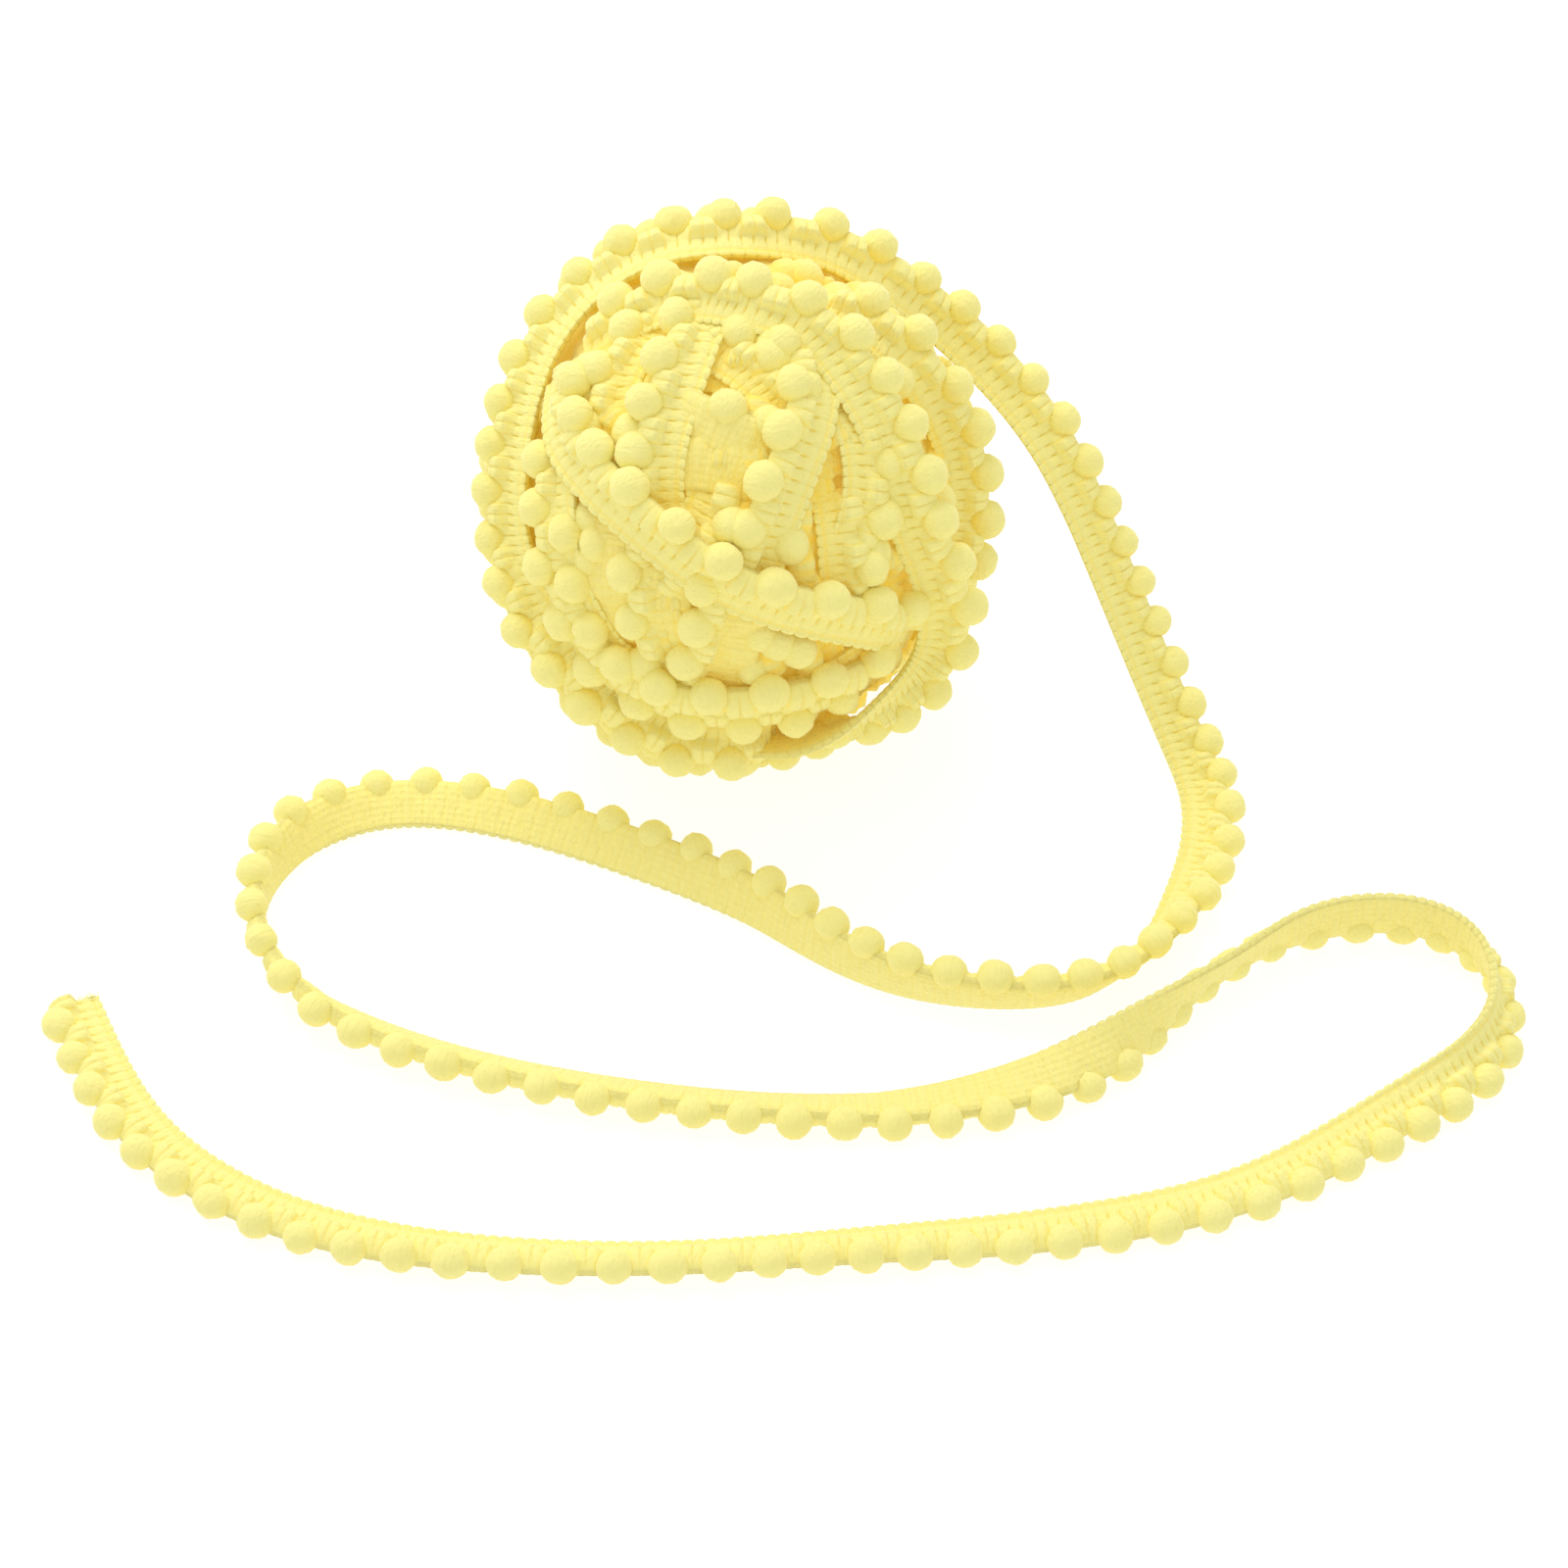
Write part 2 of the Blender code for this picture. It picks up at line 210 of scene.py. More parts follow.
# %% The tail's route
TAIL_ROUTE = (
    # pompom, x_mm, y_mm, roll_deg, lift_mm
    (-1.5, 25.5, 18, 25, 67.8),
    (0, 34, 16.5, 28, 60.4),
    (3, 49.5, 7, 14, 47),
    (6, 59.5, -2, 5, 29.5),
    (9, 68, -12, 2, 12),
    (11, 73.5, -21, 2, 3),
    (12.5, 76, -29, 4, 0.5),
    (14, 75.5, -39, 6, 0),
    (15.5, 72.5, -49, 20, 0),
    (17, 68, -59, 41, 0),
    (18.5, 62, -67.5, 57, 0),
    (20, 54, -73, 67, 0),
    (22, 40.5, -74.5, 76, 0),
    (24, 26.5, -71.5, 86, 0),
    (26, 14.5, -64.5, 101, 0),
    (28, 4, -55.5, 121, 0),
    (31, -14.5, -44, 142, 0),
    (34, -36, -34.5, 151, 0),
    (37, -57.5, -32, 153, 0),
    (39, -69, -39, 128, 0),
    (40.5, -74, -48.5, 100, 0),
    (42, -74.5, -59, 90, 0),
    (43.5, -70, -68.5, 107, 0),
    (45, -62, -75.5, 130, 0),
    (48, -42.5, -85, 143, 0),
    (52, -12.5, -92.5, 148, 0),
    (56, 17, -95, 155, 0),
    (60, 46, -91, 193, 0),
    (62, 58.5, -85.5, 230, 0),
    (64, 69, -77, 271, 0),
    (66, 79.5, -68, 286, 0),
    (68, 91.5, -61, 271, 0),
    (70, 105.5, -59.5, 269, 0),
    (71.5, 113.5, -63.5, 273, 0),
    (73, 117.5, -71, 283, 0),
    (74.5, 117, -80.5, 295, 0),
    (76, 112, -88, 315, 0),
    (78, 101.5, -95.5, 339, 0),
    (82, 77, -110, 361, 0),
    (86, 48.5, -117.5, 366, 0),
    (90, 19.5, -121, 377, 0),
    (94, -9, -123.5, 381, 0),
    (98, -40, -122, 376, 0),
    (102, -68, -114, 368, 0),
    (105, -85.5, -101.5, 366, 0),
    (109, -100, -77.5, 366, 0),
    (110, -103, -71, 366, 0),
)
route = natural_spline([row[0] for row in TAIL_ROUTE], [row[1:] for row in TAIL_ROUTE])


def rest_height(roll):
    """Height of the braid's middle at which the trim just touches the floor."""
    sine = np.sin(roll)
    cosine = np.cos(roll)
    plain_edge = -HALF_WIDTH * sine - HALF_THICKNESS
    pompom_edge = HALF_WIDTH * sine - HALF_THICKNESS
    pompom_centre = (HALF_WIDTH + POMPOM_OUT) * sine + POMPOM_UP * cosine
    return -np.minimum(np.minimum(plain_edge, pompom_edge), pompom_centre - POMPOM_RADIUS)


def tail_middle(at):
    """The middle line of the loose braid, in mm."""
    x, y, roll, lift = route(at).T
    return np.stack([x, y, rest_height(np.radians(roll)) + np.maximum(lift, 0)], 1)


def tail_frames(at):
    """Middle, and the directions ahead, from plain edge to pompom edge, and out of the face."""
    ahead = unit(tail_middle(at + NEAR) - tail_middle(at - NEAR))
    left = unit(np.cross((0.0, 0.0, 1.0), ahead))
    up = np.cross(ahead, left)
    roll = np.radians(route(at)[:, 2])[:, None]
    across = np.cos(roll) * left + np.sin(roll) * up
    face = np.cos(roll) * up - np.sin(roll) * left
    return tail_middle(at), ahead, across, face


tail_line = tail_middle(np.linspace(TAIL_START, TAIL_END, LINE_POINTS))

# %% [markdown]
# ## The turns of the ball
# The ball is wound by hand, so each turn runs its own way over the ones below. A row gives a
# direction from the ball's middle, how far the braid's middle lies above the ball's surface, and
# how far its pompom edge leans outwards. Side 1 has the pompoms on the left of the way from the
# first row to the last, seen from outside, and -1 on the right.
#
# - The outer turns are what shows from the front, the last one going on into the loose tail.
# - The inner turns show between those. A lean near 180 turns the reverse out.
# - The side turns go over the flanks and low in front.
# - A bundle is how most of a ball gets wound: turn beside turn round one axis, here twice, with
#   the second bundle across the first.
# - The under turns and the deep braids show only through gaps.

# %% The turns
BALL_SEMI_AXES = np.array((39.0, 42.0, 44.5))
BALL_CENTRE = np.array((0.0, 0.0, 41.5))

OUTER_TURNS = (
    # side, rows of (pompom, azimuth_deg, elevation_deg, lift_mm, lean_deg)
    (1, (   # the last turn, which goes on into the loose tail
        (-22, -80, -24, -2.2, 25), (-21, -91, -23, -1, 35), (-20, -103, -23, -1, 42),
        (-19, -113, -19, -1, 45), (-18, -123, -13, -1, 45), (-17, -132, -7, -0.8, 42),
        (-16, -141, -2, -0.5, 36), (-15, -148, 4, -0.3, 28), (-14, -154, 10, -0.3, 20),
        (-12, -165, 25, -0.3, 21), (-10, 180, 38, -0.3, 20), (-8, 160, 53, -0.3, 17),
        (-6, 125, 67, -0.8, 22), (-5, 93, 69.5, -1.2, 28), (-4, 66, 63.5, -1.4, 35),
        (-3, 49, 54, -0.8, 44), (-2, 38, 45, -0.2, 52), (-1.5, 33, 39, 0.5, 58),
    )),
    (1, (   # the turn under it, which leaves a slack loop low on the right
        (-2, -174, 50, -3.2, 5), (-1, -171, 62, -2.6, 10), (0, -164, 73, -1.6, 14),
        (1, -126, 81.5, -0.8, 16), (2, -70, 80, -0.3, 17), (3, -40, 71, 0, 20),
        (4, -36, 61, 0, 22), (5, -37, 51, 0, 24), (6, -38, 41, 0, 30), (7, -40, 31, 0.2, 38),
        (8, -41, 21.5, 0.5, 44), (9, -39, 11, 1, 46), (10, -37.5, 0, 1.8, 42),
        (11, -39, -9, 2.3, 34), (12, -44, -14, 2.5, 24), (13, -50.5, -16.5, 2.5, 10),
        (14, -57.5, -19, 2.2, -10), (15, -65.5, -22, 1.6, -35), (16, -75.5, -25.5, 0.6, -45),
        (17, -88, -29, -1, -30), (18, -101, -33, -2.5, 0),
    )),
    (1, (   # the slanting turn
        (-1, -171, 43, -2.4, 0), (0, -160.5, 41.5, -1.2, 0), (1, -149, 38, -0.3, 0),
        (2, -135.5, 35.5, -0.3, 0), (3, -121, 32.5, -0.2, 5), (4, -107, 28, 0, 9),
        (5, -95, 22.5, 0, 13), (6, -82.5, 17, 0, 13), (7, -70, 11.5, -0.2, 8),
        (8, -58.5, 5.5, -0.6, 2), (9, -47.5, -2, -1.4, 0), (10, -38, -8, -2.6, 0),
    )),
    (1, (
        (-1, -147, 28, -3.4, 0), (0, -142, 18.5, -2, 0), (1, -136, 9, -1.4, 0),
        (2, -129, 0, -1.2, 0), (3, -120, -7, -1, 0), (4, -108, -10.5, -0.8, 0),
        (5, -95, -11, -0.6, 0), (6, -81.5, -10.5, -0.6, 0), (7, -68, -11, -1, 0),
        (8, -55, -12.5, -1.8, 0), (9, -44, -15, -3.2, 0),
    )),
    (-1, (
        (-1, -151, 41, -3, 0), (0, -146, 33, -1.8, 0), (1, -140, 25, -0.9, 3),
        (2, -134, 15, -0.9, 5), (3, -127, 5.5, -1.4, 8), (4, -120, -2.5, -2, 10),
        (5, -110.5, -8, -2.4, 12), (6, -100, -11, -2.4, 12), (7, -87.5, -11.5, -2.4, 12),
        (8, -75.5, -11, -2.4, 12), (9, -64.5, -9, -2.6, 8), (10, -54, -6, -3.4, 0),
    )),
    (-1, (
        (-1, -136, 84, -3.6, 0), (0, -120, 77, -2.2, 2), (1, -115, 66, -1.8, 2),
        (2, -114, 55.5, -1.8, 2), (3, -113, 45.5, -2, 0), (4, -111, 36, -3, 0),
        (5, -108, 26, -4, 0),
    )),
    (-1, (
        (-2, -20, 78, -4, 0), (-1, -38, 67, -2.4, 4), (0, -51, 56.5, -1.4, 5),
        (1, -63.5, 47.5, -1.2, 5), (2, -73, 39, -1.2, 5), (3, -79, 30.5, -1.6, 4),
        (4, -84, 21, -3, 0), (5, -87, 11, -4, 0),
    )),
    (-1, (
        (-1, -160, 75, -4, 0), (0, -152, 66, -3.2, 0), (1, -145.5, 56.5, -3, 3),
        (2, -137, 46.5, -3.4, 5), (3, -128, 37, -4, 0),
    )),
    (1, (
        (-1, -130, 74, -4.4, 0), (0, -98, 71, -3.4, 0), (1, -78, 65, -3, 0),
        (2, -67, 57, -3.4, 5), (3, -58, 48, -4.4, 0),
    )),
    (1, (
        (-2, 2, 68, -3.4, 5), (-1, -4, 58, -1.8, 18), (0, -7, 46.5, -1, 30),
        (1, -9.5, 34, -0.8, 40), (2, -11, 24.5, -0.8, 45), (3, -14, 16, -0.8, 45),
        (4, -18, 8, -1, 42), (5, -22, 0, -1.4, 34), (6, -26, -9, -2, 20), (7, -30, -18, -3, 5),
    )),
    (-1, (
        (-1, -112, 30, -3.8, 0), (0, -110, 20.5, -2.6, 0), (1, -107.5, 10, -2.4, 0),
        (2, -105, -1, -2.8, 0), (3, -102, -11, -4, 0),
    )),
    (-1, (
        (-1, -89, 29, -3.8, 0), (0, -90, 19.5, -2.6, 8), (1, -91.5, 10, -2.4, 8),
        (2, -94.5, 0, -2.8, 5), (3, -98, -10, -4, 0),
    )),
    (1, (
        (-1, -38, 56, -4, 0), (0, -43, 47, -2.4, 0), (1, -47, 38, -2.2, 0), (2, -53, 29, -2.4, 0),
        (3, -61, 20, -3.4, 0),
    )),
)
INNER_TURNS = (             # seen between the outer ones; a lean of 180 shows the reverse
    (-1, (
        (-1, -140, 55, -4.4, 172), (0, -118, 55, -3, 168), (1, -96, 52, -2.2, 165),
        (2, -79, 48, -2.8, 172), (3, -64, 44, -4.2, 180),
    )),
    (-1, (
        (-1, -122, 38, -4.4, 180), (0, -110, 43.5, -3.2, 180), (1, -96, 44.5, -2.8, 176),
        (2, -82, 42, -3.2, 176), (3, -70, 37, -4.4, 180),
    )),
    (1, (
        (-1, -127, 36, -4.2, 180), (0, -125, 28, -2.6, 180), (1, -122.5, 19, -2.2, 180),
        (2, -119.5, 10, -2.4, 180), (3, -116, 1, -3.6, 180),
    )),
    (1, (
        (-1, -109, 34, -4.4, 180), (0, -107, 25, -3, 180), (1, -105.5, 15.5, -2.6, 180),
        (2, -103.5, 6, -3, 180), (3, -101, -3, -4.2, 180),
    )),
    (-1, (
        (-1, -88, 27, -4.2, 180), (0, -88.5, 18, -2.8, 180), (1, -90, 8.5, -2.4, 180),
        (2, -92, -1, -3, 180), (3, -94, -10, -4.4, 180),
    )),
    (1, (
        (-1, -96, 44, -4.2, 0), (0, -98, 35, -2.8, 5), (1, -104, 26, -2.8, 5),
        (2, -112, 17, -4.2, 0),
    )),
    (1, (
        (-1, -58, 36, -4.2, 0), (0, -60, 27, -2.6, 5), (1, -61, 18, -2.6, 8), (2, -60, 9, -3.6, 0),
    )),
)
SIDE_TURNS = (              # low in front, on the left and on the right flank
    (1, (
        (0, 176, 20, -2.8, 0), (3, -170, -4, -1.4, 0), (6, -152, -28, -1.2, 0),
        (9, -120, -46, -1.4, 0), (12, -72, -54, -2.5, 0),
    )),
    (1, (
        (0, -178, 36, -3.4, 0), (2.6, -164, 12, -2, 0), (5.2, -150, -10, -1.6, 0),
        (8, -126, -30, -1.6, 0), (11, -90, -42, -1.6, 0), (13.6, -56, -46, -2.8, 0),
    )),
    (-1, (
        (0, 168, -6, -2.2, 0), (2.8, -172, -30, -1.6, 0), (6.4, -132, -54, -1.8, 0),
        (9.4, -76, -60, -3, 0),
    )),
    (1, (
        (0, -160, -18, -2.6, 0), (2.8, -134, -24, -2.2, 0), (5.6, -104, -26, -2.4, 0),
        (8.2, -80, -30, -3.4, 0),
    )),
    (-1, (
        (0, -2, 54, -3.4, 0), (3, -4, 30, -2.6, 0), (6.4, -8, 2, -2.2, 0), (9.8, -6, -26, -2, 0),
        (12.6, 2, -48, -2.6, 0),
    )),
    (-1, (
        (0, 24, 2, -2.6, 0), (2.8, 12, -18, -2.2, 0), (5.4, 16, -38, -2.2, 0),
        (7.6, 24, -52, -2.8, 0),
    )),
)
BUNDLES = (                 # several turns side by side, each on a circle round the same axis
    # axis azimuth and elevation, turns, first angle from the axis, step, start, end, side, lift_mm
    (-8, 24, 9, 38, 12.6, -78, 92, 1, -1.6),
    (62, -38, 3, 72, 12.6, -20, 150, -1, -0.5),
)
BUNDLE_ROWS = 16
END_SINK = 2.5              # mm that a bundle's ends dip under the turns beside them
LAST_TURN_PLANE = np.array((-0.21, 0.96, -0.17))    # square to the top of the last turn
DIVE = 5.0                  # mm that the bundles pass under the last turn, towards the front
DIVE_FROM, DIVE_TO = 0.54, 0.3      # how far behind the plane, as shares of the ball's radius
DIVE_ABOVE = (0.2, 0.45)    # only on the upper half: where it begins, and where it is full
UNDER_LIFT = -3.9           # mm; these are seen only through gaps
UNDER_TURNS = (
    # side, rows of (pompom, azimuth_deg, elevation_deg)
    (1, ((0, -165, 60), (3, -140, 30), (6, -125, -2), (8.5, -112, -30))),
    (-1, ((0, -130, 82), (2.5, -120, 55), (5, -110, 25), (7.5, -100, -5), (9.5, -95, -28))),
    (1, ((0, -60, 84), (2.5, -85, 58), (5, -90, 28), (7.5, -84, -2), (9.5, -78, -26))),
    (-1, ((0, -20, 76), (2.5, -55, 56), (5, -66, 27), (7.5, -66, -3), (9.5, -60, -30))),
    (1, ((0, 10, 60), (2.5, -25, 45), (5, -45, 20), (7.5, -52, -6), (9, -62, -20))),
    (-1, ((0, 30, 40), (2.5, -5, 28), (5, -20, 4), (7.5, -14, -20))),
    (1, ((0, -170, 12), (3, -135, 14), (6, -100, 12), (9, -64, 14), (12, -28, 8))),
    (1, ((0, -175, 44), (2.5, -140, 44), (4.8, -104, 44), (7.2, -70, 44), (9.5, -34, 40))),
    (1, ((0, -160, -16), (3, -125, -18), (6, -90, -18), (8, -68, -18))),
    (1, ((0, 160, 66), (2, -170, 70), (4, -120, 68), (6, -80, 66), (8, -50, 62))),
)
DEEP_LIFT = -4.7            # mm
DEEP_BRAIDS = (             # behind the slack loop, where only the braid shows
    (1, ((0, 14, -10), (3, -12, -28), (5.5, -44, -38), (7.5, -80, -42))),
    (1, ((0, 16, -24), (3, -12, -42), (5.5, -50, -52), (7.5, -90, -54))),
    (1, ((0, 18, -40), (2.5, -16, -54), (4.5, -60, -64))),
    (-1, ((0, -4, 14), (2.5, -16, -6), (5, -38, -24), (7, -66, -30))),
    (-1, ((0, 10, 6), (2.5, 4, -14), (5, -4, -36), (7, -30, -60))),
)


def directions(azimuth, elevation):
    """Unit vectors from angles in degrees."""
    azimuth = np.radians(np.atleast_1d(azimuth))
    elevation = np.radians(np.atleast_1d(elevation))
    return np.stack([
        np.cos(elevation) * np.cos(azimuth),
        np.cos(elevation) * np.sin(azimuth),
        np.sin(elevation),
    ], 1)


def turn_place(rows):
    """Middle line, outward direction and lean of a turn, as a function of the pompom number."""
    number, azimuth, elevation, lift, lean = np.array(rows, float).T
    curve = natural_spline(number, np.column_stack([directions(azimuth, elevation), lift, lean]))

    def place(at):
        values = curve(at)
        way = unit(values[:, :3])
        normal = unit(way / BALL_SEMI_AXES)
        middle = BALL_CENTRE + way * BALL_SEMI_AXES + normal * values[:, 3:4]
        return middle, normal, values[:, 4]

    return place


def turn_frames(side, rows, at):
    """The same four directions as the tail's, at pompom numbers along a turn of the ball."""
    place = turn_place(rows)
    middle, normal, lean = place(at)
    ahead = unit(place(at + NEAR / 2)[0] - place(at - NEAR / 2)[0])
    left = unit(np.cross(normal, ahead)) * side
    up = np.cross(ahead, left) * side
    lean = np.radians(lean)[:, None]
    across = np.cos(lean) * left + np.sin(lean) * up
    face = np.cos(lean) * up - np.sin(lean) * left
    return middle, ahead, across, face


def bundle_turns(azimuth, elevation, turns, first, step, start, end, side, lift):
    """The side and rows of each turn of one bundle: circles about the bundle's axis."""
    axis = directions(azimuth, elevation)
    east = unit(np.cross((0.0, 0.0, 1.0), axis))
    up = np.cross(axis, east)
    around = np.linspace(start, end, BUNDLE_ROWS)[:, None]
    for turn in range(turns):
        polar = math.radians(first + turn * step)
        ring = np.cos(np.radians(around)) * east + np.sin(np.radians(around)) * up
        ways = math.cos(polar) * axis + math.sin(polar) * ring
        length = np.radians(around[:, 0] - start) * math.sin(polar) * BALL_SEMI_AXES.mean()
        rows = []
        for row, (way, travelled) in enumerate(zip(ways, length)):
            forward = (DIVE_FROM - way @ LAST_TURN_PLANE) / (DIVE_FROM - DIVE_TO)
            high = (way[2] - DIVE_ABOVE[0]) / (DIVE_ABOVE[1] - DIVE_ABOVE[0])
            dive = DIVE * min(max(forward, 0), 1) * min(max(high, 0), 1)
            sink = max(dive, END_SINK if row in (0, BUNDLE_ROWS - 1) else 0)
            place = math.degrees(math.atan2(way[1], way[0])), math.degrees(math.asin(way[2]))
            rows.append((travelled / BALL_PITCH, *place, lift - sink, 0))
        yield side, rows


BACK_TURNS, CROSSING_TURNS = [tuple(bundle_turns(*bundle)) for bundle in BUNDLES]
print(len(OUTER_TURNS), "turns in front,", len(BACK_TURNS) + len(CROSSING_TURNS), "behind")

# %% [markdown]
# ## The braid
# A section has a face with a scalloped plain edge, a knitted strip, a row of slanting slits and
# puffy pads; its reverse is flatter. Between two pompoms the tied pads swell out as far as the
# pompoms' middles, so that those look half sunk. Sections are repeated at uneven stations: close
# together at a slit, far apart on a rung. How deep a point lies is kept as the "crevice"
# attribute, which paints shade: deep in the knitting the yellow is painted amber.

# %% The braid's surface
STATIONS = (0.0, 0.1, 0.22, 0.5, 0.78, 0.9)         # within one rung
PLAIN_STATIONS = (0.0, 0.12, 0.5, 0.88)             # at the back
DEEP_STATIONS = (0.0, 0.5)                          # where it is seen only through gaps
FACE_OUT = (                # mm across the trim from its middle, the face's points
    -3.3, -3.2, -2.9, -2.55, -2.3, -1.8, -1.2, -0.75, -0.45, -0.1, 0.35, 0.7, 1.1, 1.7, 2.3, 2.8,
    3.15, 3.35,
)
BACK_OUT = (3.15, 2.5, 1.1, -0.2, -1.4, -2.5, -3.1)     # and the reverse's, going back
SLIT_SHARE = 0.13           # of a rung
LUMP_FROM = (0.10, 0.34)    # of the way from a pompom to the next: begins, full
# Zones across the face: middle and half width, or where they begin and are full, in mm.
BEAD_ZONE = (-2.9, 0.7)
EDGE_ZONE = (2.7, 3.2)
GUTTER_ZONE = (-2.4, 0.6)
GUTTER_LINE = (-2.35, 0.35)
KNIT_ZONE = (-2.6, -1.9)
SLIT_ZONE = (-0.1, 0.95)
PAD_ZONE = (0.3, 1.1)
PAD_ROUNDING = (1.9, 3.35)
TIE_ZONE = (1.4, 3.35)
BACK_TIE_ZONE = (1.4, 3.2)
BACK_SWELLING = (1.9, 1.8)
BACK_BELLY = (0.0, 3.6)
# Heights in mm: the ground, then on it the even part and the part that puffs up on a rung.
GROUND = 0.25
BEAD_HEIGHT = (0.25, 0.30)
KNIT_HEIGHT = (0.28, 0.16)
PAD_HEIGHT = (0.42, 0.20)
PAD_SLIT = 0.12
BACK_HEIGHT = (-0.5, -0.25, -0.10)      # even, belly, puff
BACK_LUMP = 0.5
TIE_IN = 0.25               # how far the pads are drawn in beside a pompom
SLIT_DEPTH = 0.28
SLIT_SLANT = 0.12           # along the trim for each mm across it
SLANT_REACH = 1.2           # mm on both sides of the middle
REVERSE_MAP = 12.0          # mm that the reverse is moved by on the UV map
REVERSE_BELOW = -0.4        # mm, the height that tells the reverse from the face
SCALLOP = 0.38              # how far a rung's bead stands out of the plain edge
LUMP_HEIGHT = 1.6
LUMP_OUT = 1.5              # how far the pads between two pompoms swell outwards
SINKING = (0.5, 5.0)        # mm below the ball's surface, where the painted shade begins and is full
# the fullest painted shade, deep in the ball
DEEPEST_SHADE = 0.9
PRESSED = 0.05              # mm above the floor, where soft pompoms are pressed flat


def hill(value, centre, half_width):
    """1 at the centre, 0 from half a width away, smooth between."""
    share = np.clip(1 - np.abs(value - centre) / half_width, 0, 1)
    return share * share * (3 - 2 * share)


def rise(value, low, high):
    """0 up to the low value, 1 from the high one, smooth between."""
    share = np.clip((value - low) / (high - low), 0, 1)
    return share * share * (3 - 2 * share)


def stations(first, last, within=STATIONS):
    """Places along the trim, in pompoms, at which a section is made."""
    rungs = np.arange(math.floor(first * RUNGS), math.ceil(last * RUNGS))
    at = (rungs[:, None] + np.array(within)[None, :]).ravel() / RUNGS
    at = at[(at > first) & (at < last)]
    return np.concatenate([[first], at, [last]])


def braid_section(at, behind):
    """How far out, how far up and how deep in a crevice each point of each section lies."""
    rung = np.abs((at * RUNGS + 0.5) % 1 - 0.5)[:, None]    # 0 in a slit, 0.5 on top of a rung
    puff = np.sqrt(np.sin(math.pi * rung))
    slit = 1 - rise(rung, 0.0, SLIT_SHARE)
    between = np.abs((at + 0.5) % 1 - 0.5)[:, None]         # 0 at a pompom, 0.5 between two
    lump = rise(between, *LUMP_FROM)
    swollen = LUMP_OUT * lump - TIE_IN

    out = np.array(FACE_OUT)[None, :]
    slits = hill(out, *SLIT_ZONE)
    pads = rise(out, *PAD_ZONE)
    outer = np.clip((out - PAD_ROUNDING[0]) / (PAD_ROUNDING[1] - PAD_ROUNDING[0]), 0, 1) ** 2
    up = GROUND + hill(out, *BEAD_ZONE) * (BEAD_HEIGHT[0] + BEAD_HEIGHT[1] * puff)
    up = up + rise(out, *KNIT_ZONE) * (1 - pads) * (KNIT_HEIGHT[0] + KNIT_HEIGHT[1] * puff)
    up = up - slits * SLIT_DEPTH * slit
    pad_height = PAD_HEIGHT[0] + PAD_HEIGHT[1] * puff + LUMP_HEIGHT * lump
    up = up + pads * pad_height * (1 - 0.9 * outer)
    up = up - pads * PAD_SLIT * slit
    edge = -rise(-out, *EDGE_ZONE) * SCALLOP * (puff - 0.35)
    face_out = out + edge + rise(out, *TIE_ZONE) * swollen
    # painted shade: slits, pads and the gutter are turned amber where shade falls in the knitting
    deep = slit * (slits + 0.5 * pads * (1 - outer) + 0.4 * hill(out, *GUTTER_ZONE))
    deep = np.clip(deep + 0.3 * hill(out, *GUTTER_LINE), 0, 1)

    back = np.array(BACK_OUT)[None, :]
    even, belly, puffing = BACK_HEIGHT
    back_up = even + belly * hill(back, *BACK_BELLY) + puffing * puff
    back_up = back_up - BACK_LUMP * lump * hill(back, *BACK_SWELLING)
    back_out = back + rise(back, *BACK_TIE_ZONE) * swollen
    # painted shade on the reverse, deeper at a slit
    back_deep = np.broadcast_to(behind + 0.2 * slit, back_up.shape)
    return (
        np.hstack([face_out, back_out]),
        np.hstack([up, back_up]),
        np.hstack([deep, back_deep]),
    )


def sunk(points):
    """How much painted shade points get from lying deep between the turns of the ball."""
    way = (points - BALL_CENTRE) / BALL_SEMI_AXES
    below = (1 - np.linalg.norm(way, axis=1)) * BALL_SEMI_AXES.mean()
    return DEEPEST_SHADE * rise(below, *SINKING)


class Pieces:
    """Collects many small surfaces that become one mesh."""

    def __init__(self, sinks=False):
        self.sinks = sinks      # whether points deep below the ball's surface get painted shade
        self.points = []
        self.faces = []
        self.maps = []
        self.deep = []
        self.count = 0

    def add(self, points, faces, maps, deep):
        # painted shade for points deep in the ball
        if self.sinks:
            deep = np.minimum(deep + sunk(points), 1.0)
        self.points.append(points)
        self.faces += [[corner + self.count for corner in face] for face in faces]
        self.maps.append(maps)
        self.deep.append(deep)
        self.count += len(points)

    def build(self, name, material, smooth=True):
        """One object in metres, with a UV map in centimetres along and across the trim."""
        points = np.vstack(self.points) * MM
        points[:, 2] = np.maximum(points[:, 2], PRESSED * MM)
        mesh = bpy.data.meshes.new(name)
        mesh.from_pydata(points.tolist(), [], self.faces)
        corners = np.zeros(len(mesh.loops), np.int32)
        mesh.loops.foreach_get("vertex_index", corners)
        layer = mesh.uv_layers.new(name="along_across")
        layer.data.foreach_set("uv", np.vstack(self.maps)[corners].ravel())
        # the crevice value is painted shade, how far the yellow is turned to amber
        attribute = mesh.attributes.new("crevice", "FLOAT", "POINT")
        attribute.data.foreach_set("value", np.concatenate(self.deep))
        mesh.polygons.foreach_set("use_smooth", np.full(len(self.faces), smooth))
        mesh.materials.append(material)
        piece = bpy.data.objects.new(name, mesh)
        scene.collection.objects.link(piece)
        triangles = sum(len(polygon.vertices) - 2 for polygon in mesh.polygons)
        print(name, "has", triangles, "triangles")
        return piece


def strip_faces(rows, columns):
    """Four-cornered faces of a closed tube of rows x columns points."""
    row = np.arange(rows - 1)[:, None] * columns
    side = np.arange(columns)[None, :]
    nxt = (side + 1) % columns
    corners = [row + side, row + nxt, row + columns + nxt, row + columns + side]
    return np.stack(corners, 2).reshape(-1, 4)


